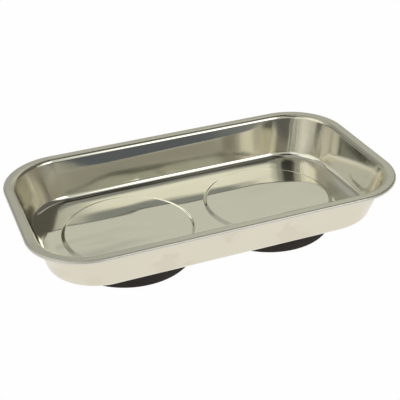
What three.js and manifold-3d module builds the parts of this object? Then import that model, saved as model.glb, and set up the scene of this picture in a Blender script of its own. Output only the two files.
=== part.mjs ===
// Magnetic parts tray: a deep-drawn stainless steel dish that stands on two round,
// rubber-booted magnet bases.
//
// Millimetres, +Z up. X runs along the tray, Y across it. The origin is the middle of the
// tray in plan, on the plane that the boots stand on.

import * as THREE from 'three';
import { mergeVertices } from 'three/addons/utils/BufferGeometryUtils.js';
import Module from 'manifold-3d';

const wasm = await Module();
wasm.setup();

// The pressed dish. An inset is measured inwards from the outer edge of the rim.
const tray = {
  length: 240,
  width: 136,
  rimTop: 44.2,
  floorTop: 15.7,
  sheet: 0.7,
  rimCornerRadius: 38,
  wallCornerRadius: 32,
  floorInset: 17.5,
  floorFillet: 4.5,
  flangeInset: 4.4,
  flangeBend: 3.2,
  lipBend: 1.5,
  lipDepth: 2,
};

// The round platform pressed up in the floor above each magnet base.
const platform = {
  footRadius: 43.2,
  topRadius: 40.4,
  rise: 1,
};
const seatHeight = tray.floorTop - tray.sheet + platform.rise;

// One magnet base. Heights are above the plane that the boots stand on.
const baseSpacing = 98;
const boot = {
  footRadius: 42,
  shoulderRadius: 41.2,
  edgeRounding: 1,
  sole: 2,
  holeRadius: 11.5,
  wallInside: 39.6,
  wallTop: 14.8,
  lip: 1.4,
  lipInside: 31,
  lipOutside: 40,
};
const yoke = { radius: 39.3, thickness: 2.2, holeRadius: 3.3, chamfer: 0.4 };
const magnet = { outerRadius: 38.9, innerRadius: 16, chamfer: 0.8 };
const stud = { radius: 2.95, tip: 2.6, tipChamfer: 0.8, collarRadius: 6 };
const flatWasher = { outerRadius: 9, innerRadius: 3.2, thickness: 1.6 };
const springWasher = { outerRadius: 5.9, innerRadius: 3.1, thickness: 1.6, slit: 0.24 };
const nut = { acrossFlats: 10, height: 5, boreRadius: 3.05, chamferAngle: 30 };

// How finely round shapes are faceted.
const cornerSteps = 8;
const bendSteps = 3;
const largeSegments = 48;
const mediumSegments = 32;
const smallSegments = 20;

const finishes = {
  stainless: { color: 0xcfcbbd, roughness: 0.22, metalness: 1 },
  rubber: { color: 0x2a2724, roughness: 0.85, metalness: 0 },
  ferrite: { color: 0x3a3a3c, roughness: 0.7, metalness: 0.1 },
  zincSteel: { color: 0xb9bcbd, roughness: 0.38, metalness: 1 },
};

// ---- Shapes ----

// Points on an arc in the plane of a section, from one angle to another, in degrees.
function arc(centreX, centreZ, radius, fromDegrees, toDegrees, steps = bendSteps) {
  const points = [];
  for (let step = 0; step <= steps; step += 1) {
    const degrees = fromDegrees + ((toDegrees - fromDegrees) * step) / steps;
    const angle = THREE.MathUtils.degToRad(degrees);
    points.push([centreX + radius * Math.cos(angle), centreZ + radius * Math.sin(angle)]);
  }
  return points;
}

// A solid turned about the Z axis from [radius, z] points, which run up its outer side.
function turned(points, segments) {
  const profile = points.map(([radius, z]) => new THREE.Vector2(radius, z));
  return new THREE.LatheGeometry(profile, segments).rotateX(Math.PI / 2);
}

// A turned solid that doesn't reach the axis: its section is closed on itself.
function turnedRing(points, segments) {
  return turned([...points, points[0]], segments);
}

// A flat ring with its four edges chamfered.
function chamferedRing(inner, outer, bottom, top, chamfer, segments) {
  return turnedRing([
    [inner + chamfer, bottom],
    [outer - chamfer, bottom],
    [outer, bottom + chamfer],
    [outer, top - chamfer],
    [outer - chamfer, top],
    [inner + chamfer, top],
    [inner, top - chamfer],
    [inner, bottom + chamfer],
  ], segments);
}

function toSolid(geometry) {
  const bare = geometry.clone();
  bare.deleteAttribute('normal');
  bare.deleteAttribute('uv');
  const merged = mergeVertices(bare, 1e-4);
  return new wasm.Manifold(new wasm.Mesh({
    numProp: 3,
    vertProperties: new Float32Array(merged.attributes.position.array),
    triVerts: new Uint32Array(merged.index.array),
  }));
}

function toGeometry(solid) {
  const mesh = solid.getMesh();
  const geometry = new THREE.BufferGeometry();
  geometry.setAttribute('position', new THREE.BufferAttribute(mesh.vertProperties, 3));
  geometry.setIndex(new THREE.BufferAttribute(mesh.triVerts, 1));
  geometry.computeVertexNormals();
  return geometry;
}

// ---- The dish ----

// The plan corner radius at an inset. The rim's corners share one centre, and the wall keeps
// one radius from there down to the floor, so its corners lean more than its sides.
function cornerRadius(inset) {
  return Math.max(tray.rimCornerRadius - inset, tray.wallCornerRadius);
}

// One level outline of the dish, counter-clockwise seen from above.
function outline(inset, z) {
  const radius = cornerRadius(inset);
  const cornerX = tray.length / 2 - inset - radius;
  const cornerY = tray.width / 2 - inset - radius;
  const corners = [[1, 1, 0], [-1, 1, 90], [-1, -1, 180], [1, -1, 270]];
  return corners.flatMap(([sideX, sideY, start]) => (
    arc(sideX * cornerX, sideY * cornerY, radius, start, start + 90, cornerSteps)
      .map(([x, y]) => [x, y, z])
  ));
}

// The slope of the wall, which is tangent to the floor fillet and to the flange bend.
function wallSlope() {
  const across = tray.floorInset - tray.flangeInset;
  const up = tray.rimTop - tray.flangeBend - tray.floorTop - tray.floorFillet;
  const turn = Math.asin((tray.flangeBend + tray.floorFillet) / Math.hypot(across, up));
  return THREE.MathUtils.radToDeg(Math.atan2(across, up) - turn);
}

// One face of the sheet as [inset, z] points, from the floor out to the edge of the lip.
// Depth is 0 for the upper face and the sheet's thickness for the under face.
function sheetFace(depth) {
  const slope = wallSlope();
  const filletHeight = tray.floorTop + tray.floorFillet;
  const bendHeight = tray.rimTop - tray.flangeBend;
  const lipHeight = tray.rimTop - tray.lipBend;
  return [
    ...arc(tray.floorInset, filletHeight, tray.floorFillet + depth, 270, 180 + slope),
    ...arc(tray.flangeInset, bendHeight, tray.flangeBend - depth, slope, 90),
    ...arc(tray.lipBend, lipHeight, tray.lipBend - depth, 90, 180),
    [depth, tray.rimTop - tray.lipDepth],
  ];
}

// The dish without its platforms: rings of points joined up the inside, over the lip and
// down the outside, and closed by the two faces of the floor.
function plainDish() {
  const section = [...sheetFace(0), ...sheetFace(tray.sheet).reverse()];
  const rings = section.map(([inset, z]) => outline(inset, z));
  const count = rings[0].length;
  const triangles = [];
  for (let ring = 0; ring < rings.length - 1; ring += 1) {
    for (let place = 0; place < count; place += 1) {
      const next = (place + 1) % count;
      const here = ring * count;
      const there = here + count;
      triangles.push(here + place, there + next, here + next);
      triangles.push(here + place, there + place, there + next);
    }
  }
  const floorOutline = rings[0].map(([x, y]) => new THREE.Vector2(x, y));
  const underside = (rings.length - 1) * count;
  for (const [a, b, c] of THREE.ShapeUtils.triangulateShape(floorOutline, [])) {
    triangles.push(a, b, c);
    triangles.push(underside + c, underside + b, underside + a);
  }
  const geometry = new THREE.BufferGeometry();
  geometry.setAttribute('position', new THREE.Float32BufferAttribute(rings.flat(2), 3));
  geometry.setIndex(triangles);
  return geometry;
}

// A round step under a smooth S-shaped shoulder, from a level below it up to the platform.
function platformSolid(bottom, floor) {
  const shoulder = [];
  for (let step = 0; step <= bendSteps; step += 1) {
    const along = step / bendSteps;
    const lift = (1 - Math.cos(Math.PI * along)) / 2;
    shoulder.push([
      THREE.MathUtils.lerp(platform.footRadius, platform.topRadius, along),
      floor + platform.rise * lift,
    ]);
  }
  return turned([
    [0, bottom],
    [platform.footRadius, bottom],
    ...shoulder,
    [0, floor + platform.rise],
  ], largeSegments);
}

function dish() {
  const underside = tray.floorTop - tray.sheet;
  const middle = tray.floorTop - tray.sheet / 2;
  let solid = toSolid(plainDish());
  for (const side of [-1, 1]) {
    const x = (side * baseSpacing) / 2;
    const raised = platformSolid(middle, tray.floorTop).translate(x, 0, 0);
    const hollow = platformSolid(underside - 1, underside).translate(x, 0, 0);
    solid = solid.add(toSolid(raised)).subtract(toSolid(hollow));
  }
  return toGeometry(solid);
}

// ---- The magnet base ----

const yokeTop = seatHeight - boot.lip;
const yokeBottom = yokeTop - yoke.thickness;
const flatWasherBottom = yokeBottom - flatWasher.thickness;
const springWasherBottom = flatWasherBottom - springWasher.thickness;

// The boot wraps under and round the magnet and yoke, and its lip is clamped under the dish.
function rubberBoot() {
  const rounding = boot.edgeRounding;
  return turnedRing([
    [boot.holeRadius, 0],
    ...arc(boot.footRadius - rounding, rounding, rounding, 270, 360),
    ...arc(boot.shoulderRadius - rounding, boot.wallTop - rounding, rounding, 0, 90),
    [boot.lipOutside, boot.wallTop],
    [boot.lipOutside, seatHeight],
    [boot.lipInside, seatHeight],
    [boot.lipInside, yokeTop],
    [boot.wallInside, yokeTop],
    [boot.wallInside, boot.sole],
    [boot.holeRadius, boot.sole],
  ], largeSegments);
}

function ringMagnet() {
  return chamferedRing(
    magnet.innerRadius, magnet.outerRadius, boot.sole, yokeBottom, magnet.chamfer, mediumSegments,
  );
}

function yokePlate() {
  return chamferedRing(
    yoke.holeRadius, yoke.radius, yokeBottom, yokeTop, yoke.chamfer, mediumSegments,
  );
}

// The stud's collar is welded to the underside of the dish, and its shank hangs down.
function weldStud() {
  return turned([
    [0, stud.tip],
    [stud.radius - stud.tipChamfer, stud.tip],
    [stud.radius, stud.tip + stud.tipChamfer],
    [stud.radius, yokeTop],
    [stud.collarRadius, yokeTop],
    [stud.collarRadius, seatHeight],
    [0, seatHeight],
  ], smallSegments);
}

function roundWasher() {
  return turnedRing([
    [flatWasher.innerRadius, flatWasherBottom],
    [flatWasher.outerRadius, flatWasherBottom],
    [flatWasher.outerRadius, yokeBottom],
    [flatWasher.innerRadius, yokeBottom],
  ], smallSegments);
}

// A split ring: the slit is an angle in radians on either side of +X.
function splitWasher() {
  const { outerRadius, innerRadius, thickness, slit } = springWasher;
  const shape = new THREE.Shape();
  shape.absarc(0, 0, outerRadius, slit, 2 * Math.PI - slit, false);
  shape.absarc(0, 0, innerRadius, 2 * Math.PI - slit, slit, true);
  shape.closePath();
  const flat = { depth: thickness, bevelEnabled: false, curveSegments: smallSegments / 2 };
  return new THREE.ExtrudeGeometry(shape, flat).translate(0, 0, springWasherBottom);
}

function hexNut() {
  const corner = nut.acrossFlats / 2 / Math.cos(Math.PI / 6);
  const hexagon = new THREE.Shape();
  for (let side = 0; side < 6; side += 1) {
    const angle = (side * Math.PI) / 3;
    const draw = side === 0 ? 'moveTo' : 'lineTo';
    hexagon[draw](corner * Math.cos(angle), corner * Math.sin(angle));
  }
  hexagon.closePath();
  hexagon.holes.push(new THREE.Path().absarc(0, 0, nut.boreRadius, 0, 2 * Math.PI, true));
  const flat = { depth: nut.height, bevelEnabled: false, curveSegments: smallSegments / 2 };
  const prism = new THREE.ExtrudeGeometry(hexagon, flat);

  // A double cone takes the six corners off at both ends.
  const face = nut.acrossFlats / 2;
  const reach = (corner - face + 1) * Math.tan(THREE.MathUtils.degToRad(nut.chamferAngle));
  const chamfering = turned([
    [0, 0],
    [face, 0],
    [corner + 1, reach],
    [corner + 1, nut.height - reach],
    [face, nut.height],
    [0, nut.height],
  ], smallSegments);
  return toGeometry(toSolid(prism).intersect(toSolid(chamfering)))
    .translate(0, 0, springWasherBottom - nut.height);
}

// ---- The assembly ----

function part(name, geometry, finish) {
  const mesh = new THREE.Mesh(geometry, new THREE.MeshStandardMaterial(finishes[finish]));
  mesh.name = name;
  return mesh;
}

function magnetBase(side, x) {
  const base = new THREE.Group();
  base.add(part(`${side}_rubber_boot`, rubberBoot(), 'rubber'));
  base.add(part(`${side}_ring_magnet`, ringMagnet(), 'ferrite'));
  base.add(part(`${side}_yoke_plate`, yokePlate(), 'zincSteel'));
  base.add(part(`${side}_weld_stud`, weldStud(), 'zincSteel'));
  base.add(part(`${side}_flat_washer`, roundWasher(), 'zincSteel'));
  base.add(part(`${side}_spring_washer`, splitWasher(), 'zincSteel'));
  base.add(part(`${side}_hex_nut`, hexNut(), 'zincSteel'));
  base.position.x = x;
  return base;
}

const assembly = new THREE.Group();
assembly.add(part('tray_pan', dish(), 'stainless'));
assembly.add(magnetBase('left', -baseSpacing / 2));
assembly.add(magnetBase('right', baseSpacing / 2));

export default assembly;
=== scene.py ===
"""Looks of a magnetic parts tray: a polished stainless dish on two rubber-booted magnet bases.

Metres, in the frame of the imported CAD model: +Z up, X along the tray, the boots stand on Z = 0.
"""

import math
from collections import namedtuple

import bmesh
import bpy
from mathutils import Matrix, Vector


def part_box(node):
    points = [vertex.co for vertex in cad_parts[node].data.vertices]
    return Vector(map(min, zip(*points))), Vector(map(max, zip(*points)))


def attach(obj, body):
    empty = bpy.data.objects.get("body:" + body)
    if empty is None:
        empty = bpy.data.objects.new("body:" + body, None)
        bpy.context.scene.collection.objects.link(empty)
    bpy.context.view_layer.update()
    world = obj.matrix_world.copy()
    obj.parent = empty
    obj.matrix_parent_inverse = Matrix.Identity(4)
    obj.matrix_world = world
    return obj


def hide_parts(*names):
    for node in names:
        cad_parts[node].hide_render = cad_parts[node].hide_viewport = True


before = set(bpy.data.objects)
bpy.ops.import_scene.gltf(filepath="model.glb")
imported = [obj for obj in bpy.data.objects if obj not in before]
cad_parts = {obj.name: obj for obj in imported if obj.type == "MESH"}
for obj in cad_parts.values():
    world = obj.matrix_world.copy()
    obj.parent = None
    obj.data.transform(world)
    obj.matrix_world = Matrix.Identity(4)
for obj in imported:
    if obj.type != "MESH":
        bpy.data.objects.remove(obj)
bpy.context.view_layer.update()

MM = 0.001
SIDES = ("left", "right")

# ---- Sizes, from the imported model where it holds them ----

TRAY_LOW, TRAY_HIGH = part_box("tray_pan")
BOOT_LOW, BOOT_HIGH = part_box("left_rubber_boot")
BASE_X = {side: sum(c.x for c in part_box(f"{side}_rubber_boot")) / 2 for side in SIDES}

HALF_LENGTH = (TRAY_HIGH.x - TRAY_LOW.x) / 2
HALF_WIDTH = (TRAY_HIGH.y - TRAY_LOW.y) / 2
RIM_TOP = TRAY_HIGH.z
SHEET = 0.7 * MM
UNDERSIDE = TRAY_LOW.z
FLOOR_TOP = UNDERSIDE + SHEET
SEAT = BOOT_HIGH.z
PLATFORM_RISE = SEAT - UNDERSIDE

# An inset is measured inwards from the outer edge of the rim.
RIM_CORNER = 38 * MM
WALL_CORNER = 32 * MM
FLOOR_INSET = 17.5 * MM
FLOOR_FILLET = 4.5 * MM
FLANGE_INSET = 4.4 * MM
FLANGE_BEND = 3.2 * MM
LIP_BEND = 1.5 * MM
LIP_DEPTH = 2 * MM
CUT_EDGE = 0.15 * MM
# The floor curves up from this inset, and is this many degrees steep where its fillet starts.
FLOOR_BLEND_INSET = 23.5 * MM
FLOOR_BLEND_TILT = 14
# The wall leans this many degrees more above its break line. The flare fades out towards the corners.
SIDE_FLARE = 7.5
END_FLARE = 2.5
FLARE_FADE = 40 * MM
# The break line's height, softness and slant are shares of the wall's height. It is higher at +X.
WALL_BREAK = 0.74
WALL_BREAK_WIDTH = 0.18
BREAK_SLANT = 0.08
# The platform's shoulder, as radii.
PLATFORM_FOOT = 43.2 * MM
PLATFORM_TOP = 40.4 * MM

# The dish's corners as signs of X and Y, counter-clockwise from above.
CORNERS = ((1, 1), (-1, 1), (-1, -1), (1, -1))

# How finely the shapes are drawn.
CORNER_STEPS = 28
SIDE_STEPS = 24
BEND_STEPS = 10
WALL_STEPS = 30
CUT_STEPS = 6
SHOULDER_STEPS = 12
ROUND_STEPS = 128


# ---- Meshes ----


def new_object(name, vertices, faces, normals=None, outward=None):
    """A smooth object from vertices and faces, with vertex normals and outward directions if given."""
    mesh = bpy.data.meshes.new(name)
    mesh.from_pydata([tuple(v) for v in vertices], [], faces)
    mesh.polygons.foreach_set("use_smooth", [True] * len(mesh.polygons))
    mesh.update()
    if normals is not None:
        mesh.normals_split_custom_set_from_vertices([tuple(n) for n in normals])
    if outward is not None:
        stored = mesh.attributes.new("outward", "FLOAT_VECTOR", "POINT")
        stored.data.foreach_set("vector", [value for direction in outward for value in direction])
    piece = bpy.data.objects.new(name, mesh)
    bpy.context.scene.collection.objects.link(piece)
    return piece


def arc(centre, radius, start, end, steps=BEND_STEPS):
    """Points on an arc in a section, between two angles in degrees, with their outward directions."""
    points = []
    for step in range(steps + 1):
        angle = math.radians(start + (end - start) * step / steps)
        direction = (math.cos(angle), math.sin(angle))
        point = (centre[0] + radius * direction[0], centre[1] + radius * direction[1])
        points.append((point, direction))
    return points


# ---- The dish ----

# A place round the dish: a corner, the next corner, the share of the way to it, the outward direction, and
# the wall's flare and the height of its break line there.
Station = namedtuple("Station", "corner following share outward flare wall_break")


def corner_radius(inset):
    """The plan corner radius at an inset, and how fast it changes with the inset."""
    if inset < RIM_CORNER - WALL_CORNER:
        return RIM_CORNER - inset, -1
    return WALL_CORNER, 0


def wall_slope():
    """The wall's lean in degrees: it is tangent to the floor fillet and to the flange bend."""
    across = FLOOR_INSET - FLANGE_INSET
    up = RIM_TOP - FLANGE_BEND - FLOOR_TOP - FLOOR_FILLET
    turn = math.asin((FLANGE_BEND + FLOOR_FILLET) / math.hypot(across, up))
    return math.degrees(math.atan2(across, up) - turn)


def smooth(t):
    """A smooth step from 0 to 1."""
    t = min(1, max(0, t))
    return t * t * (3 - 2 * t)


def flare_share(along, wall_break):
    """The share of the extra flare that is reached at a share of the wall's height."""
    return smooth((along - wall_break) / WALL_BREAK_WIDTH + 0.5)


def flared_wall(foot, top, slope, flare, wall_break):
    """Points between the fillet and the bend. The wall leans a little more above its break line."""
    points = []
    length = math.hypot(top[0] - foot[0], top[1] - foot[1])
    bow = 0
    for step in range(1, WALL_STEPS):
        along = step / WALL_STEPS
        less_lean = 1 - wall_break - flare_share(along - 0.5 / WALL_STEPS, wall_break)
        bow += length / WALL_STEPS * math.radians(flare) * less_lean
        lean = math.radians(slope + flare * (flare_share(along, wall_break) - 1 + wall_break))
        normal = (math.cos(lean), math.sin(lean))
        point = tuple(foot[i] + (top[i] - foot[i]) * along + bow * normal[i] for i in range(2))
        points.append((point, normal))
    return points


def sheet_face(depth, flare, wall_break):
    """One face of the sheet, from floor to lip: (inset, z) points, with the upper face's normals."""
    slope = wall_slope()
    low_slope = slope - flare * (1 - wall_break)
    high_slope = slope + flare * wall_break
    fillet_centre = (FLOOR_INSET, FLOOR_TOP + FLOOR_FILLET)
    fillet = arc(fillet_centre, FLOOR_FILLET + depth, 270 - FLOOR_BLEND_TILT, 180 + low_slope)
    bend = arc((FLANGE_INSET, RIM_TOP - FLANGE_BEND), FLANGE_BEND - depth, high_slope, 90)
    lip = arc((LIP_BEND, RIM_TOP - LIP_BEND), LIP_BEND - depth, 90, 180)
    points = [((FLOOR_BLEND_INSET, FLOOR_TOP - depth), (0, 1))]
    points += [(point, (-direction[0], -direction[1])) for point, direction in fillet]
    points += flared_wall(fillet[-1][0], bend[0][0], slope, flare, wall_break)
    points += bend + lip
    points.append(((depth, RIM_TOP - LIP_DEPTH + CUT_EDGE), (-1, 0)))
    return points


def dish_section(flare, wall_break):
    """The sheet's whole section: up the inside, over the rim, round the cut edge and down the outside."""
    middle = SHEET / 2
    level = RIM_TOP - LIP_DEPTH + CUT_EDGE
    edge = []
    for point, direction in arc((middle, 0), middle, 180, 360, CUT_STEPS)[1:-1]:
        edge.append(((point[0], level + point[1] * CUT_EDGE / middle), direction))
    lower_face = sheet_face(SHEET, flare, wall_break)
    outside = [(point, (-normal[0], -normal[1])) for point, normal in lower_face]
    return sheet_face(0, flare, wall_break) + edge + outside[::-1]


def stations():
    """The places round the dish, counter-clockwise from above: each corner, then the side after it."""
    places = []
    for number, corner in enumerate(CORNERS):
        following = CORNERS[(number + 1) % len(CORNERS)]
        for step in range(CORNER_STEPS + 1):
            angle = math.radians(90 * (number + step / CORNER_STEPS))
            outward = Vector((math.cos(angle), math.sin(angle), 0))
            places.append(Station(corner, corner, 0, outward, 0, WALL_BREAK))
        half, full_flare = ((HALF_LENGTH, SIDE_FLARE), (HALF_WIDTH, END_FLARE))[number % 2]
        for step in range(1, SIDE_STEPS):
            share = step / SIDE_STEPS
            from_corner = min(share, 1 - share) * 2 * (half - RIM_CORNER)
            flare = full_flare * smooth(from_corner / FLARE_FADE)
            along_x = corner[0] + (following[0] - corner[0]) * share
            wall_break = WALL_BREAK + BREAK_SLANT * along_x
            places.append(Station(corner, following, share, outward, flare, wall_break))
    return places


def dish_point(place, point, normal):
    """A point of the section at one of the stations, and its normal there."""
    outward = place.outward
    inset, z = point
    radius, change = corner_radius(inset)
    side = Vector(place.corner).lerp(Vector(place.following), place.share)
    centre = Vector((side.x * (HALF_LENGTH - inset - radius), side.y * (HALF_WIDTH - inset - radius), z))
    inwards = Vector((-side.x * (1 + change), -side.y * (1 + change), 0)) + change * outward
    slope = -normal[1] * inwards + Vector((0, 0, normal[0]))
    surface = Vector((-outward.y, outward.x, 0)).cross(slope).normalized()
    flat = Vector((-normal[0] * outward.x, -normal[0] * outward.y, normal[1]))
    return centre + radius * outward, surface if surface.dot(flat) > 0 else -surface


def shoulder_rows(floor):
    """The platform's S-shaped shoulder as (radius, z, normal outward, normal up), from foot to top."""
    rows = []
    run = PLATFORM_FOOT - PLATFORM_TOP
    for step in range(SHOULDER_STEPS + 1):
        along = step / SHOULDER_STEPS
        lift = (1 - math.cos(math.pi * along)) / 2
        rise = PLATFORM_RISE * math.pi * math.sin(math.pi * along) / 2
        size = math.hypot(rise, run)
        radius = PLATFORM_FOOT - run * along
        rows.append((radius, floor + PLATFORM_RISE * lift, rise / size, run / size))
    return rows


def add_floor(mesh, outline, floor, facing):
    """One face of the floor inside an outline that the mesh already has: flat, with two platforms.

    It faces up where facing is 1 and down where it is -1.
    """
    rows = shoulder_rows(floor)
    loops = [outline]
    for side in SIDES:
        start = len(mesh["points"])
        for radius, z, out, up in rows:
            for step in range(ROUND_STEPS):
                angle = 2 * math.pi * step / ROUND_STEPS
                direction = Vector((math.cos(angle), math.sin(angle), 0))
                mesh["points"].append(Vector((BASE_X[side], 0, z)) + radius * direction)
                mesh["normals"].append(facing * (out * direction + Vector((0, 0, up))))
                mesh["outward"].append(Vector((0, 0, 0)))
        for row in range(len(rows) - 1):
            for step in range(ROUND_STEPS):
                a = start + row * ROUND_STEPS + step
                b = start + row * ROUND_STEPS + (step + 1) % ROUND_STEPS
                face = [a, b, b + ROUND_STEPS, a + ROUND_STEPS]
                mesh["faces"].append(face if facing > 0 else face[::-1])
        last = start + (len(rows) - 1) * ROUND_STEPS
        top = list(range(last, last + ROUND_STEPS))
        mesh["faces"].append(top if facing > 0 else top[::-1])
        loops.append(list(range(start, start + ROUND_STEPS)))
    bm = bmesh.new()
    known = []
    edges = []
    for loop in loops:
        corners = [bm.verts.new((mesh["points"][i].x, mesh["points"][i].y, 0)) for i in loop]
        edges += [bm.edges.new(pair) for pair in zip(corners, corners[1:] + corners[:1])]
        known += loop
    bmesh.ops.triangle_fill(bm, use_beauty=True, use_dissolve=False, edges=edges, normal=(0, 0, 1))
    bm.verts.index_update()
    for triangle in bm.faces:
        face = [known[v.index] for v in triangle.verts]
        if triangle.normal.z * facing < 0:
            face.reverse()
        mesh["faces"].append(face)
    bm.free()


def build_dish():
    """The dish, with the first material on its inside and the second on its outside."""
    mesh = {"points": [], "normals": [], "outward": [], "faces": []}
    places = stations()
    sections = [dish_section(place.flare, place.wall_break) for place in places]
    count = len(places)
    rings = len(sections[0])
    for ring in range(rings):
        for place, section in zip(places, sections):
            point, normal = dish_point(place, *section[ring])
            mesh["points"].append(point)
            mesh["normals"].append(normal)
            mesh["outward"].append(place.outward)
    for ring in range(rings - 1):
        for number in range(count):
            a = ring * count + number
            b = ring * count + (number + 1) % count
            mesh["faces"].append([a, a + count, b + count, b])
    outside_start = (len(sheet_face(0, 0, WALL_BREAK)) - 1) * count
    outside_end = len(mesh["faces"])
    add_floor(mesh, list(range(count)), FLOOR_TOP, 1)
    underside_start = len(mesh["faces"])
    last = (rings - 1) * count
    add_floor(mesh, list(range(last, last + count)), UNDERSIDE, -1)
    piece = new_object("dish", mesh["points"], mesh["faces"], mesh["normals"], mesh["outward"])
    for polygon in piece.data.polygons:
        outside = outside_start <= polygon.index < outside_end or polygon.index >= underside_start
        polygon.material_index = 1 if outside else 0
    return piece


# ---- The magnet bases ----

YOKE_LOW, YOKE_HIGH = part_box("left_yoke_plate")
MAGNET_LOW, MAGNET_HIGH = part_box("left_ring_magnet")
STUD_LOW, STUD_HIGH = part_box("left_weld_stud")
WASHER_LOW, WASHER_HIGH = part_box("left_flat_washer")
SPRING_LOW, SPRING_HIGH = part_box("left_spring_washer")
NUT_LOW, NUT_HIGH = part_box("left_hex_nut")

BOOT_FOOT = (BOOT_HIGH.x - BOOT_LOW.x) / 2
BOOT_SHOULDER = 41.2 * MM
BOOT_ROUNDING = 1 * MM
BOOT_HOLE = 11.5 * MM
BOOT_INSIDE = 39.6 * MM
BOOT_WALL_TOP = 14.8 * MM
BOOT_LIP_INSIDE = 31 * MM
BOOT_LIP_OUTSIDE = 40 * MM
BOOT_SMALL_ROUNDING = 0.35 * MM
# Holes and bores are given as radii.
MAGNET_HOLE = 16 * MM
MAGNET_EDGE = 0.7 * MM
YOKE_HOLE = 3.3 * MM
YOKE_EDGE = 0.3 * MM
WASHER_HOLE = 3.2 * MM
WASHER_EDGE = 0.25 * MM
COLLAR_RADIUS = 6 * MM
COLLAR_FILLET = 0.5 * MM
COLLAR_CHAMFER = 0.3 * MM
THREAD_RADIUS = 2.95 * MM
THREAD_PITCH = 1 * MM
THREAD_DEPTH = 0.5 * MM
SPRING_HOLE = 3.1 * MM
SPRING_THICKNESS = 1.35 * MM
SPRING_EDGE = 0.15 * MM
# Half of the spring washer's gap, in radians.
SPRING_GAP = 0.24
NUT_ACROSS_FLATS = 10 * MM
NUT_BORE = 3.05 * MM
NUT_COUNTERSINK = 0.5 * MM
NUT_CHAMFER = math.radians(30)

TURNED_STEPS = 160
ROUNDING_STEPS = 5
THREAD_STEPS = 48
THREAD_ROWS_PER_TURN = 8
NUT_STEPS = 96
SPRING_STEPS = 72
CREASE_ANGLE = math.radians(35)


def grid_object(name, rows, closed_section):
    """An object from rows of points that each go once round.

    With closed_section the last row joins the first, and otherwise both ends are capped.
    """
    count = len(rows[0])
    points = [point for row in rows for point in row]
    faces = []
    pairs = len(rows) if closed_section else len(rows) - 1
    for row in range(pairs):
        here, there = row * count, (row + 1) % len(rows) * count
        for place in range(count):
            following = (place + 1) % count
            faces.append([here + place, here + following, there + following, there + place])
    if not closed_section:
        faces.append(list(range(count))[::-1])
        faces.append([(len(rows) - 1) * count + place for place in range(count)])
    return new_object(name, points, faces)


def circle(x, radius, z, steps):
    """One level circle of points around a base's axis."""
    angles = [2 * math.pi * i / steps for i in range(steps)]
    return [Vector((x + radius * math.cos(angle), radius * math.sin(angle), z)) for angle in angles]


def rounded(corners):
    """A section's corners, each (radius, z, rounding), as points with the corners rounded off."""
    points = []
    for index, (x, z, rounding) in enumerate(corners):
        corner = Vector((x, z))
        before = (Vector(corners[index - 1][:2]) - corner).normalized()
        after = (Vector(corners[(index + 1) % len(corners)][:2]) - corner).normalized()
        half = before.angle(after) / 2
        if rounding == 0:
            points.append(corner)
            continue
        reach = rounding / math.tan(half)
        middle = corner + (before + after).normalized() * rounding / math.sin(half)
        start = (corner + before * reach - middle).normalized()
        end = (corner + after * reach - middle).normalized()
        for step in range(ROUNDING_STEPS + 1):
            points.append(middle + rounding * start.slerp(end, step / ROUNDING_STEPS))
    return points


def turned_ring(name, x, corners):
    """A ring turned about a base's axis. Its section runs up the outside and down the inside."""
    rows = [circle(x, point.x, point.y, TURNED_STEPS) for point in rounded(corners)]
    return grid_object(name, rows, True)


def rubber_boot(side):
    """The boot's foot flares a little, and its thin lip is clamped between the yoke and the dish."""
    small = BOOT_SMALL_ROUNDING
    return turned_ring(f"{side}_boot", BASE_X[side], [
        (BOOT_HOLE, 0, small),
        (BOOT_FOOT, 0, BOOT_ROUNDING),
        (BOOT_SHOULDER, BOOT_WALL_TOP, BOOT_ROUNDING),
        (BOOT_LIP_OUTSIDE, BOOT_WALL_TOP, small),
        (BOOT_LIP_OUTSIDE, SEAT, small),
        (BOOT_LIP_INSIDE, SEAT, small),
        (BOOT_LIP_INSIDE, YOKE_HIGH.z, small),
        (BOOT_INSIDE, YOKE_HIGH.z, small),
        (BOOT_INSIDE, MAGNET_LOW.z, small),
        (BOOT_HOLE, MAGNET_LOW.z, small),
    ])


def flat_ring(name, x, low, high, hole, edge):
    """A flat ring with rounded edges, as wide and as high as a CAD node's box."""
    outer = (high.x - low.x) / 2
    return turned_ring(name, x, [
        (hole, low.z, edge),
        (outer, low.z, edge),
        (outer, high.z, edge),
        (hole, high.z, edge),
    ])


def ring_magnet(side):
    return flat_ring(f"{side}_magnet", BASE_X[side], MAGNET_LOW, MAGNET_HIGH, MAGNET_HOLE, MAGNET_EDGE)


def yoke_plate(side):
    return flat_ring(f"{side}_yoke", BASE_X[side], YOKE_LOW, YOKE_HIGH, YOKE_HOLE, YOKE_EDGE)


def flat_washer(side):
    return flat_ring(f"{side}_washer", BASE_X[side], WASHER_LOW, WASHER_HIGH, WASHER_HOLE, WASHER_EDGE)


def threaded_rows(x, low, high):
    """Circles whose radius follows a helical thread between two heights, fading in at the lower end."""
    rows = []
    count = round((high - low) / THREAD_PITCH * THREAD_ROWS_PER_TURN)
    for row in range(count + 1):
        z = low + (high - low) * row / count
        fade = min(1, (z - low) / THREAD_PITCH)
        ring = circle(x, 1, z, THREAD_STEPS)
        for step, point in enumerate(ring):
            turn = (z / THREAD_PITCH - step / THREAD_STEPS) % 1
            cut = THREAD_DEPTH * (1 - abs(2 * turn - 1))
            radius = THREAD_RADIUS - cut * fade - (1 - fade) * THREAD_DEPTH
            angle = 2 * math.pi * step / THREAD_STEPS
            ring[step] = Vector((x + radius * math.cos(angle), radius * math.sin(angle), point.z))
        rows.append(ring)
    return rows


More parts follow.
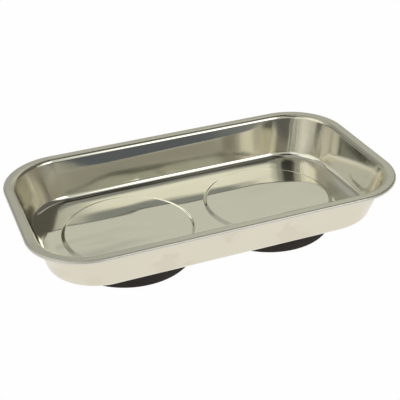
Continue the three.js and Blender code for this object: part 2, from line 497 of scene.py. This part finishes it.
def weld_stud(side):
    """A threaded shank under a collar, which has a small weld fillet against the dish."""
    x = BASE_X[side]
    rows = threaded_rows(x, STUD_LOW.z, YOKE_HIGH.z - THREAD_PITCH)
    rows.append(circle(x, THREAD_RADIUS - THREAD_DEPTH, YOKE_HIGH.z, THREAD_STEPS))
    collar = COLLAR_RADIUS - COLLAR_FILLET
    rows.append(circle(x, collar - COLLAR_CHAMFER, YOKE_HIGH.z, THREAD_STEPS))
    rows.append(circle(x, collar, YOKE_HIGH.z + COLLAR_CHAMFER, THREAD_STEPS))
    for point, _ in arc((COLLAR_RADIUS, SEAT - COLLAR_FILLET), COLLAR_FILLET, 180, 90, 5):
        rows.append(circle(x, point[0], point[1], THREAD_STEPS))
    return grid_object(f"{side}_stud", rows, False)


def spring_washer(side):
    """A split ring of nearly square section that rises a little from one end to the other."""
    x = BASE_X[side]
    outer = (SPRING_HIGH.x - SPRING_LOW.x) / 2
    rise = SPRING_HIGH.z - SPRING_LOW.z - SPRING_THICKNESS
    section = rounded([
        (SPRING_HOLE, 0, SPRING_EDGE),
        (outer, 0, SPRING_EDGE),
        (outer, SPRING_THICKNESS, SPRING_EDGE),
        (SPRING_HOLE, SPRING_THICKNESS, SPRING_EDGE),
    ])
    rows = []
    for step in range(SPRING_STEPS + 1):
        along = step / SPRING_STEPS
        angle = SPRING_GAP + (2 * math.pi - 2 * SPRING_GAP) * along
        base = SPRING_LOW.z + rise * along
        row = [Vector((x + p.x * math.cos(angle), p.x * math.sin(angle), base + p.y)) for p in section]
        rows.append(row[::-1])
    return grid_object(f"{side}_spring", rows, False)


def hex_nut(side):
    """A hexagon with both ends chamfered by a cone, and a countersunk bore."""
    x = BASE_X[side]
    face = NUT_ACROSS_FLATS / 2
    sink = NUT_COUNTERSINK
    low, high = NUT_LOW.z, NUT_HIGH.z
    rows = [
        circle(x, NUT_BORE, low + sink, NUT_STEPS),
        circle(x, NUT_BORE + sink, low, NUT_STEPS),
        circle(x, face, low, NUT_STEPS),
    ]
    for end, sign in ((low, 1), (high, -1)):
        row = []
        for step in range(NUT_STEPS):
            angle = 2 * math.pi * step / NUT_STEPS
            within = (angle + math.pi / 6) % (math.pi / 3) - math.pi / 6
            radius = face / math.cos(math.pi / 6 - abs(within))
            z = end + sign * (radius - face) * math.tan(NUT_CHAMFER)
            row.append(Vector((x + radius * math.cos(angle), radius * math.sin(angle), z)))
        rows.append(row)
    rows.append(circle(x, face, high, NUT_STEPS))
    rows.append(circle(x, NUT_BORE + sink, high, NUT_STEPS))
    rows.append(circle(x, NUT_BORE, high - sink, NUT_STEPS))
    return grid_object(f"{side}_nut", rows, True)


def crease(piece):
    """Smooth shading that keeps edges sharper than the crease angle crisp."""
    bm = bmesh.new()
    bm.from_mesh(piece.data)
    for edge in bm.edges:
        edge.smooth = edge.is_manifold and edge.calc_face_angle() < CREASE_ANGLE
    bm.to_mesh(piece.data)
    bm.free()


# ---- Materials ----

# Steel: how fine each noise is, per metre, and the roughness that each feature adds.
GRAIN_SCALE = 900
CLOUD_SCALE = 22
STAIN_SCALE = 38
WAVE_SCALE = 30
DRAW_MARK_SCALE = 420
# The width of a line as a share of its length: polishing lines along the tray, draw marks up the wall.
LINE_STRETCH = 0.06
GRAIN_ROUGHNESS = 0.05
STAIN_ROUGHNESS = 0.12
FLANGE_ROUGHNESS = 0.12
LIP_ROUGHNESS = 0.15
WALL_ROUGHNESS = 0.05
CORNER_ROUGHNESS = 0.08
# How much less wavy the wall is than the floor.
WALL_CALM = 0.85

RUBBER_BLACK = (0.020, 0.0165, 0.0132, 1)
RUBBER_SPECKLE = (0.034, 0.029, 0.023, 1)
RUBBER_DUST = (0.042, 0.036, 0.028, 1)
FERRITE_DARK = (0.030, 0.030, 0.032, 1)
FERRITE_PALE = (0.075, 0.075, 0.080, 1)
FERRITE_BROWN = (0.050, 0.046, 0.044, 1)
ZINC_BLUE = (0.66, 0.68, 0.71, 1)
ZINC_YELLOW = (0.70, 0.67, 0.58, 1)

# The sockets of Blender's Mix node for colours.
MIX_FACTOR = 0
MIX_FIRST = 6
MIX_SECOND = 7
MIX_RESULT = 2


class Nodes:
    """Short calls for adding nodes to a material or world and joining them."""

    def __init__(self, owner):
        owner.use_nodes = True
        self.tree = owner.node_tree
        self.tree.nodes.clear()

    def add(self, kind, settings=None, **inputs):
        node = self.tree.nodes.new(kind)
        for name, value in (settings or {}).items():
            setattr(node, name, value)
        for name, value in inputs.items():
            self.join(node.inputs[name.replace("_", " ")], value)
        return node

    def join(self, socket, value):
        if isinstance(value, bpy.types.NodeSocket):
            self.tree.links.new(value, socket)
        elif isinstance(value, bpy.types.Node):
            self.tree.links.new(value.outputs[0], socket)
        else:
            socket.default_value = value

    def math(self, operation, *values, clamp=False):
        node = self.add("ShaderNodeMath", {"operation": operation, "use_clamp": clamp})
        for socket, value in zip(node.inputs, values):
            self.join(socket, value)
        return node.outputs[0]

    def mix(self, factor, a, b):
        node = self.add("ShaderNodeMix", {"data_type": "RGBA"})
        for socket, value in ((MIX_FACTOR, factor), (MIX_FIRST, a), (MIX_SECOND, b)):
            self.join(node.inputs[socket], value)
        return node.outputs[MIX_RESULT]

    def ramp(self, value, low, high, start=0.0, end=1.0):
        """A smooth step: start below low, end above high."""
        settings = {"interpolation_type": "SMOOTHSTEP"}
        limits = {"From_Min": low, "From_Max": high, "To_Min": start, "To_Max": end}
        return self.add("ShaderNodeMapRange", settings, Value=value, **limits).outputs[0]

    def place(self, scale=(1, 1, 1)):
        """Object coordinates in metres, stretched along the axes."""
        where = self.add("ShaderNodeTexCoord").outputs["Object"]
        return self.add("ShaderNodeMapping", Vector=where, Scale=scale).outputs[0]

    def noise(self, scale, stretch=(1, 1, 1), detail=3.0, roughness=0.5, seed=0.0):
        """Noise in object coordinates; each seed gives another pattern."""
        shape = {"Scale": scale, "Detail": detail, "Roughness": roughness, "W": seed}
        settings = {"noise_dimensions": "4D"}
        return self.add("ShaderNodeTexNoise", settings, Vector=self.place(stretch), **shape).outputs[0]

    def bump(self, height, strength, distance, normal=None):
        node = self.add("ShaderNodeBump", None, Height=height, Strength=strength, Distance=distance)
        if normal is not None:
            self.join(node.inputs["Normal"], normal)
        return node.outputs[0]


def finish_material(nodes, **inputs):
    shader = nodes.add("ShaderNodeBsdfPrincipled", None, **inputs)
    nodes.add("ShaderNodeOutputMaterial", None, Surface=shader)


def lip_mask(nodes, height, outward):
    """The turned-down lip: near the rim's height and facing away from the tray."""
    facing = nodes.add("ShaderNodeVectorMath", {"operation": "DOT_PRODUCT"})
    nodes.join(facing.inputs[0], nodes.add("ShaderNodeNewGeometry").outputs["Normal"])
    nodes.join(facing.inputs[1], outward)
    high = nodes.ramp(height, RIM_TOP - 2.4 * MM, RIM_TOP - 2.2 * MM)
    return nodes.math("MULTIPLY", high, nodes.ramp(facing.outputs["Value"], 0.1, 0.4))


def corner_mask(nodes, outward):
    """How near a place is to the middle of a rounded corner: 0 along the sides."""
    sides = nodes.add("ShaderNodeSeparateXYZ", None, Vector=outward).outputs
    twice = nodes.math("MULTIPLY", nodes.math("MULTIPLY", sides[0], sides[1]), 2)
    return nodes.math("SQRT", nodes.math("ABSOLUTE", twice))


def draw_marks(nodes, height, outward):
    """Noise in upright lines round the corners, where the sheet was drawn over the tool."""
    upright = nodes.add("ShaderNodeCombineXYZ", None, Z=nodes.math("MULTIPLY", height, LINE_STRETCH))
    place = nodes.add("ShaderNodeVectorMath", {"operation": "MULTIPLY_ADD"})
    for socket, value in zip(place.inputs, (outward, (WALL_CORNER,) * 3, upright)):
        nodes.join(socket, value)
    shape = {"Scale": DRAW_MARK_SCALE, "Detail": 3.0, "Roughness": 0.6}
    return nodes.add("ShaderNodeTexNoise", None, Vector=place, **shape)


def darker(colour, share):
    """A colour dimmed to a share of its brightness."""
    return (*[channel * share for channel in colour], 1)


def polished_steel(name, colour, stain, stain_colour, corner_shade_colour, roughness):
    """Buffed stainless sheet: mirror bright, slightly wavy from pressing, with fine lengthwise lines.

    The corners carry upright draw marks with painted shade, darker and yellower, along them; the flange
    and its lip are rougher and painted darker as shade.
    """
    material = bpy.data.materials.new(name)
    nodes = Nodes(material)
    height = nodes.add("ShaderNodeSeparateXYZ", None, Vector=nodes.place()).outputs[2]
    outward = nodes.add("ShaderNodeAttribute", {"attribute_name": "outward"}).outputs["Vector"]
    on_lip = lip_mask(nodes, height, outward)
    on_flange = nodes.math("MAXIMUM", nodes.ramp(height, RIM_TOP - 0.6 * MM, RIM_TOP - 0.1 * MM), on_lip)
    on_wall = nodes.ramp(height, FLOOR_TOP + 2 * MM, FLOOR_TOP + 4 * MM)
    corner = nodes.math("MULTIPLY", corner_mask(nodes, outward), on_wall)

    marks = draw_marks(nodes, height, outward)
    grain = nodes.noise(GRAIN_SCALE, (LINE_STRETCH, 1, 1), 4.0, 0.6)
    cloud = nodes.noise(CLOUD_SCALE, (1, 1, 1), 3.0, 0.55, 2.0)
    stains = nodes.noise(STAIN_SCALE, (1, 1, 1.3), 5.0, 0.5, 5.0)
    stained = nodes.ramp(stains, 0.53, 0.6, 0.0, stain)
    # Painted shade: darker, yellower streaks up the wall's corners, following the draw marks.
    corner_shade = nodes.math("MULTIPLY", nodes.ramp(marks, 0.35, 0.7, 0.2, 0.7), corner)

    tone = nodes.mix(nodes.ramp(cloud, 0.3, 0.7), (*colour, 1), darker(colour, 0.985))
    tone = nodes.mix(stained, tone, (*stain_colour, 1))
    tone = nodes.mix(corner_shade, tone, (*corner_shade_colour, 1))
    # Painted shade: the flange, the top of its bend and the lip are painted darker, which dims what they
    # reflect.
    tone = nodes.mix(on_flange, tone, darker(colour, 0.91))

    rough = roughness
    for feature, extra in (
        (grain, GRAIN_ROUGHNESS),
        (stained, STAIN_ROUGHNESS),
        (on_flange, FLANGE_ROUGHNESS),
        (on_lip, LIP_ROUGHNESS),
        (on_wall, WALL_ROUGHNESS),
        (corner, CORNER_ROUGHNESS),
    ):
        rough = nodes.math("ADD", rough, nodes.math("MULTIPLY", feature, extra))

    calm = nodes.math("SUBTRACT", 1.0, nodes.math("MULTIPLY", on_wall, WALL_CALM))
    waves = nodes.bump(nodes.noise(WAVE_SCALE, (0.35, 1, 1), 2.0, 0.4, 1.0), calm, 0.7 * MM)
    drawn = nodes.bump(marks, nodes.math("MULTIPLY", corner, 0.8), 0.2 * MM, waves)
    lines = nodes.bump(grain, 0.12, 0.02 * MM, drawn)
    finish_material(nodes, Base_Color=tone, Metallic=1.0, Roughness=rough, Normal=lines)
    return material


def moulded_rubber():
    """Black rubber: matte, a little warm and dusty, with a fine moulded grain."""
    material = bpy.data.materials.new("moulded_rubber")
    nodes = Nodes(material)
    grain = nodes.noise(1600, (1, 1, 1), 3.0, 0.6)
    speckle = nodes.ramp(nodes.noise(900, (1, 1, 1), 2.0, 0.5, 3.0), 0.45, 0.75)
    dust = nodes.ramp(nodes.noise(60, (1, 1, 2), 4.0, 0.6, 7.0), 0.45, 0.75, 0.0, 0.5)
    tone = nodes.mix(speckle, RUBBER_BLACK, RUBBER_SPECKLE)
    tone = nodes.mix(dust, tone, RUBBER_DUST)
    rough = nodes.math("ADD", 0.72, nodes.math("MULTIPLY", grain, 0.2))
    bumps = nodes.bump(grain, 0.35, 0.15 * MM)
    finish_material(nodes, Base_Color=tone, Roughness=rough, Normal=bumps, Specular_IOR_Level=0.35)
    return material


def sintered_ferrite():
    """Ferrite: charcoal grey, slightly shiny where it is ground, with pale specks."""
    material = bpy.data.materials.new("sintered_ferrite")
    nodes = Nodes(material)
    grain = nodes.noise(1300, (1, 1, 1), 5.0, 0.65)
    cloud = nodes.noise(90, (1, 1, 1), 3.0, 0.5, 4.0)
    tone = nodes.mix(nodes.ramp(grain, 0.35, 0.75), FERRITE_DARK, FERRITE_PALE)
    tone = nodes.mix(nodes.ramp(cloud, 0.4, 0.7, 0.0, 0.4), tone, FERRITE_BROWN)
    rough = nodes.math("ADD", 0.42, nodes.math("MULTIPLY", grain, 0.3))
    finish_material(nodes, Base_Color=tone, Roughness=rough, Normal=nodes.bump(grain, 0.4, 0.08 * MM))
    return material


def zinc_plate():
    """Zinc-plated steel: pale blue-white, satin, with cloudy passivation."""
    material = bpy.data.materials.new("zinc_plate")
    nodes = Nodes(material)
    grain = nodes.noise(1500, (1, 1, 1), 3.0, 0.6)
    cloud = nodes.noise(240, (1, 1, 1), 4.0, 0.6, 6.0)
    tone = nodes.mix(nodes.ramp(cloud, 0.35, 0.7), ZINC_BLUE, ZINC_YELLOW)
    rough = nodes.math("ADD", 0.24, nodes.math("MULTIPLY", cloud, 0.22))
    bumps = nodes.bump(grain, 0.2, 0.05 * MM)
    finish_material(nodes, Base_Color=tone, Metallic=1.0, Roughness=rough, Normal=bumps)
    return material


# ---- Assembly ----


def settle(piece, node, slot, *materials):
    """Gives a piece its materials, fixes it to the object and hides its CAD node."""
    for material in materials:
        piece.data.materials.append(material)
    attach(piece, "root")
    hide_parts(node)


STEEL_INSIDE = polished_steel(
    "polished_steel_inside",
    colour=(0.75, 0.735, 0.665),
    stain=0.10,
    stain_colour=(0.71, 0.695, 0.625),
    # The colour of the painted shade in the corners.
    corner_shade_colour=(0.72, 0.67, 0.53),
    roughness=0.02,
)
STEEL_OUTSIDE = polished_steel(
    "polished_steel_outside",
    colour=(0.715, 0.67, 0.55),
    stain=0.55,
    stain_colour=(0.66, 0.60, 0.48),
    # The colour of the painted shade in the corners.
    corner_shade_colour=(0.70, 0.65, 0.53),
    roughness=0.10,
)
RUBBER = moulded_rubber()
FERRITE = sintered_ferrite()
ZINC = zinc_plate()

dish = build_dish()
settle(dish, "tray_pan", "stainless", STEEL_INSIDE, STEEL_OUTSIDE)

for side in SIDES:
    settle(rubber_boot(side), f"{side}_rubber_boot", "rubber", RUBBER)
    settle(ring_magnet(side), f"{side}_ring_magnet", "ferrite", FERRITE)
    for build, node in (
        (yoke_plate, "yoke_plate"),
        (weld_stud, "weld_stud"),
        (flat_washer, "flat_washer"),
        (spring_washer, "spring_washer"),
        (hex_nut, "hex_nut"),
    ):
        piece = build(side)
        crease(piece)
        settle(piece, f"{side}_{node}", "zinc_steel", ZINC)


# ---- Camera ----

CAMERA_PLACE = Vector((-177.66, -464.26, 315.81)) * MM
CAMERA_AZIMUTH = math.radians(-19.22)
CAMERA_ELEVATION = math.radians(29.94)
CAMERA_ROLL = math.radians(-2.33)
LENS = 79.58
CAMERA_SHIFT = (0.0597, -0.0086)
NEAREST_SEEN = 0.01
FURTHEST_SEEN = 100


def add_camera():
    camera = bpy.data.objects.new("camera", bpy.data.cameras.new("camera"))
    bpy.context.scene.collection.objects.link(camera)
    about = Matrix.Rotation(CAMERA_AZIMUTH, 4, "Z")
    tilt = Matrix.Rotation(math.pi / 2 - CAMERA_ELEVATION, 4, "X")
    roll = Matrix.Rotation(CAMERA_ROLL, 4, "Z")
    camera.matrix_world = Matrix.Translation(CAMERA_PLACE) @ about @ tilt @ roll
    camera.data.lens = LENS
    camera.data.shift_x, camera.data.shift_y = CAMERA_SHIFT
    camera.data.clip_start = NEAREST_SEEN
    camera.data.clip_end = FURTHEST_SEEN
    bpy.context.scene.camera = camera


# ---- Floor and studio ----

FLOOR_HALF = 40.0
FLOOR_GLOW = 0.99


def add_floor_plane():
    half = FLOOR_HALF
    corners = [(-half, -half, 0), (half, -half, 0), (half, half, 0), (-half, half, 0)]
    floor = new_object("floor", corners, [[0, 1, 2, 3]])
    material = bpy.data.materials.new("lit_paper")
    nodes = Nodes(material)
    glow = nodes.add("ShaderNodeEmission", None, Color=(1, 1, 1, 1), Strength=FLOOR_GLOW)
    nodes.add("ShaderNodeOutputMaterial", None, Surface=glow)
    floor.data.materials.append(material)


# The studio, as soft-edged cards seen from the middle of the tray. Each is its bearing and height in
# degrees (bearing 0 is +Y and 90 is +X), its half width and half height, how soft its edge is, and its
# brightness. Later cards cover earlier ones.
STUDIO_GREY = (0.665, 0.67, 0.58)
CARDS = (
    # behind the tray: darker low down and to the left, with a dark object there
    (10, 9, 75, 17, 10, (0.44, 0.43, 0.375)),
    (-28, 40, 34, 18, 8, (0.49, 0.49, 0.43)),
    (6, 44, 14, 10, 4, (0.44, 0.44, 0.40)),
    (-22, 33, 19, 8, 6, (0.34, 0.325, 0.28)),
    (-48, 8, 16, 14, 8, (0.21, 0.21, 0.19)),
    # ceiling: grey, darker at the front, with a nearly black patch at the front left
    (0, 80, 181, 19, 4, (0.42, 0.42, 0.38)),
    (87, 77, 49, 9.5, 6, (0.05, 0.05, 0.045)),
    (146, 63.5, 36, 4.5, 4, (0.36, 0.39, 0.385)),
    (-152, 70, 28, 11, 4, (0.02, 0.02, 0.018)),
    # dark room to the right of the tray, paler low down
    (92, 43, 36, 30, 8, (0.14, 0.135, 0.12)),
    (105, 8, 45, 12, 8, (0.29, 0.275, 0.22)),
    # low dark band on the camera's side
    (148, 8, 10, 13, 5, (0.34, 0.34, 0.31)),
    (183, 4, 26, 12, 7, (0.112, 0.125, 0.134)),
    (-166, 10, 16, 20, 8, (0.125, 0.12, 0.11)),
    (-74, 2, 18, 9, 6, (0.12, 0.12, 0.11)),
    # softbox, front right, brighter in its lower half and dim along its top
    (151, 40, 13, 19, 2.5, (1.2, 1.21, 1.09)),
    (151, 35, 13, 13, 5, (2.2, 2.2, 2.05)),
    (149, 58, 15, 3, 2.5, (0.76, 0.76, 0.69)),
    # softbox, left, with a brighter top, lower cards and a dark gap in front of it
    (-102, 41, 42, 14, 8, (1.12, 1.10, 0.98)),
    (-132, 35, 12, 12, 8, (0.97, 1.0, 0.98)),
    (-96, 58, 42, 5, 4, (1.0, 1.0, 0.90)),
    (-76, 63, 24, 10, 5, (1.20, 1.20, 1.1)),
    (-116, 20, 14, 12, 8, (0.62, 0.61, 0.53)),
    (-120, 6, 9, 6, 5, (0.95, 0.93, 0.84)),
    (-94, 26, 9, 8, 6, (1.1, 1.08, 0.93)),
    (-138.6, 11, 2.3, 3.4, 0.4, (0.0, 0.0, 0.0)),
)


def card_mask(nodes, bearing, height, card):
    """How far a direction is inside a card: 1 inside, 0 outside, smooth over its edge."""
    centre_bearing, centre_height, half_width, half_height, soft, _ = card
    across = nodes.math("WRAP", nodes.math("SUBTRACT", bearing, centre_bearing), 180, -180)
    up = nodes.math("SUBTRACT", height, centre_height)
    masks = []
    for offset, half in ((across, half_width), (up, half_height)):
        distance = nodes.math("ABSOLUTE", offset)
        masks.append(nodes.ramp(distance, half - soft / 2, half + soft / 2, 1.0, 0.0))
    return nodes.math("MULTIPLY", *masks)


def build_studio():
    world = bpy.data.worlds.new("studio")
    bpy.context.scene.world = world
    nodes = Nodes(world)
    direction = nodes.add("ShaderNodeTexCoord").outputs["Generated"]
    split = nodes.add("ShaderNodeSeparateXYZ", None, Vector=direction).outputs
    bearing = nodes.math("DEGREES", nodes.math("ARCTAN2", split[0], split[1]))
    height = nodes.math("DEGREES", nodes.math("ARCSINE", split[2]))
    light = (*STUDIO_GREY, 1)
    for card in CARDS:
        brightness = card[-1]
        light = nodes.mix(card_mask(nodes, bearing, height, card), light, (*brightness, 1))
    background = nodes.add("ShaderNodeBackground", None, Color=light, Strength=1.0)
    nodes.add("ShaderNodeOutputWorld", None, Surface=background)
    bpy.context.scene.view_settings.view_transform = "Standard"


add_camera()
add_floor_plane()
build_studio()
